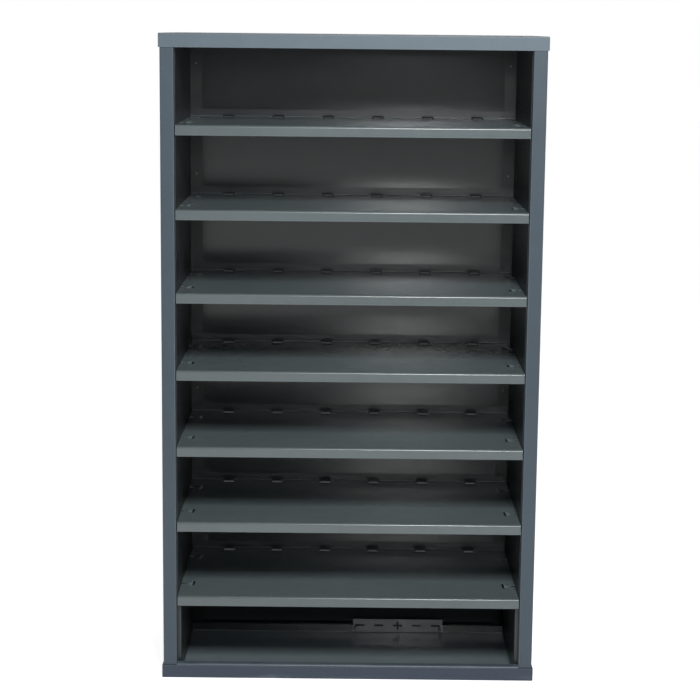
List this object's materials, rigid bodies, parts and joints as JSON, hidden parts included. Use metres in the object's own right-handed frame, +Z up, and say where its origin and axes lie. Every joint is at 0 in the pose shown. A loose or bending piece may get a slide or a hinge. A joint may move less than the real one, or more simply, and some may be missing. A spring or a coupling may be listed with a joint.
{
  "type": "storage cabinet",
  "caption": "Tall open steel storage cabinet whose round-nosed shelves lift off clips in slotted side walls.",
  "frame": {"origin": "on the floor, under the middle of the cabinet's outline", "axes": "+X to the right and +Y to the back, seen from the open front; +Z up"},
  "size_m": [0.914, 0.47, 1.57],
  "materials": {
    "outer_paint": "satin blue-grey powder coat",
    "inner_paint": "satin grey powder coat",
    "floor_paint": "satin grey powder coat",
    "shelf_paint": "satin grey powder coat",
    "clip_zinc": "dull zinc plate",
    "rivet_steel": "dull steel"
  },
  "bodies": {
    "carcass": {"top_cap": "outer_paint", "base_tray": "outer_paint", "side_panel_left": "outer_paint", "side_panel_right": "outer_paint", "header_rail": "outer_paint", "sill_rail": "outer_paint", "cap_stiffener": "outer_paint", "side_liner_left": "inner_paint", "side_liner_right": "inner_paint", "back_panel": "inner_paint", "rear_angle_left": "inner_paint", "rear_angle_right": "inner_paint", "floor_cheek_left": "inner_paint", "floor_cheek_right": "inner_paint", "upright_front_left": "inner_paint", "upright_front_right": "inner_paint", "upright_rear_left": "inner_paint", "upright_rear_right": "inner_paint", "floor_panel": "floor_paint", "slotted_plate": "floor_paint", "plate_rivets": "rivet_steel", "back_rivets": "rivet_steel", "shelf_clips_1": "clip_zinc", "shelf_clips_2": "clip_zinc", "shelf_clips_3": "clip_zinc", "shelf_clips_4": "clip_zinc", "shelf_clips_5": "clip_zinc", "shelf_clips_6": "clip_zinc", "shelf_clips_7": "clip_zinc"},
    "shelf_unit_1": {"shelf_1": "shelf_paint", "shelf_stiffener_1": "shelf_paint"},
    "shelf_unit_2": {"shelf_2": "shelf_paint", "shelf_stiffener_2": "shelf_paint"},
    "shelf_unit_3": {"shelf_3": "shelf_paint", "shelf_stiffener_3": "shelf_paint"},
    "shelf_unit_4": {"shelf_4": "shelf_paint", "shelf_stiffener_4": "shelf_paint"},
    "shelf_unit_5": {"shelf_5": "shelf_paint", "shelf_stiffener_5": "shelf_paint"},
    "shelf_unit_6": {"shelf_6": "shelf_paint", "shelf_stiffener_6": "shelf_paint"},
    "shelf_unit_7": {"shelf_7": "shelf_paint", "shelf_stiffener_7": "shelf_paint"}
  },
  "joints": [
    {"name": "shelf_lift_1", "type": "slide", "parent": "carcass", "child": "shelf_unit_1", "axis": [0, 0, 1], "range_m": [0, 0.012]},
    {"name": "shelf_lift_2", "type": "slide", "parent": "carcass", "child": "shelf_unit_2", "axis": [0, 0, 1], "range_m": [0, 0.012]},
    {"name": "shelf_lift_3", "type": "slide", "parent": "carcass", "child": "shelf_unit_3", "axis": [0, 0, 1], "range_m": [0, 0.012]},
    {"name": "shelf_lift_4", "type": "slide", "parent": "carcass", "child": "shelf_unit_4", "axis": [0, 0, 1], "range_m": [0, 0.012]},
    {"name": "shelf_lift_5", "type": "slide", "parent": "carcass", "child": "shelf_unit_5", "axis": [0, 0, 1], "range_m": [0, 0.012]},
    {"name": "shelf_lift_6", "type": "slide", "parent": "carcass", "child": "shelf_unit_6", "axis": [0, 0, 1], "range_m": [0, 0.012]},
    {"name": "shelf_lift_7", "type": "slide", "parent": "carcass", "child": "shelf_unit_7", "axis": [0, 0, 1], "range_m": [0, 0.012]}
  ]
}
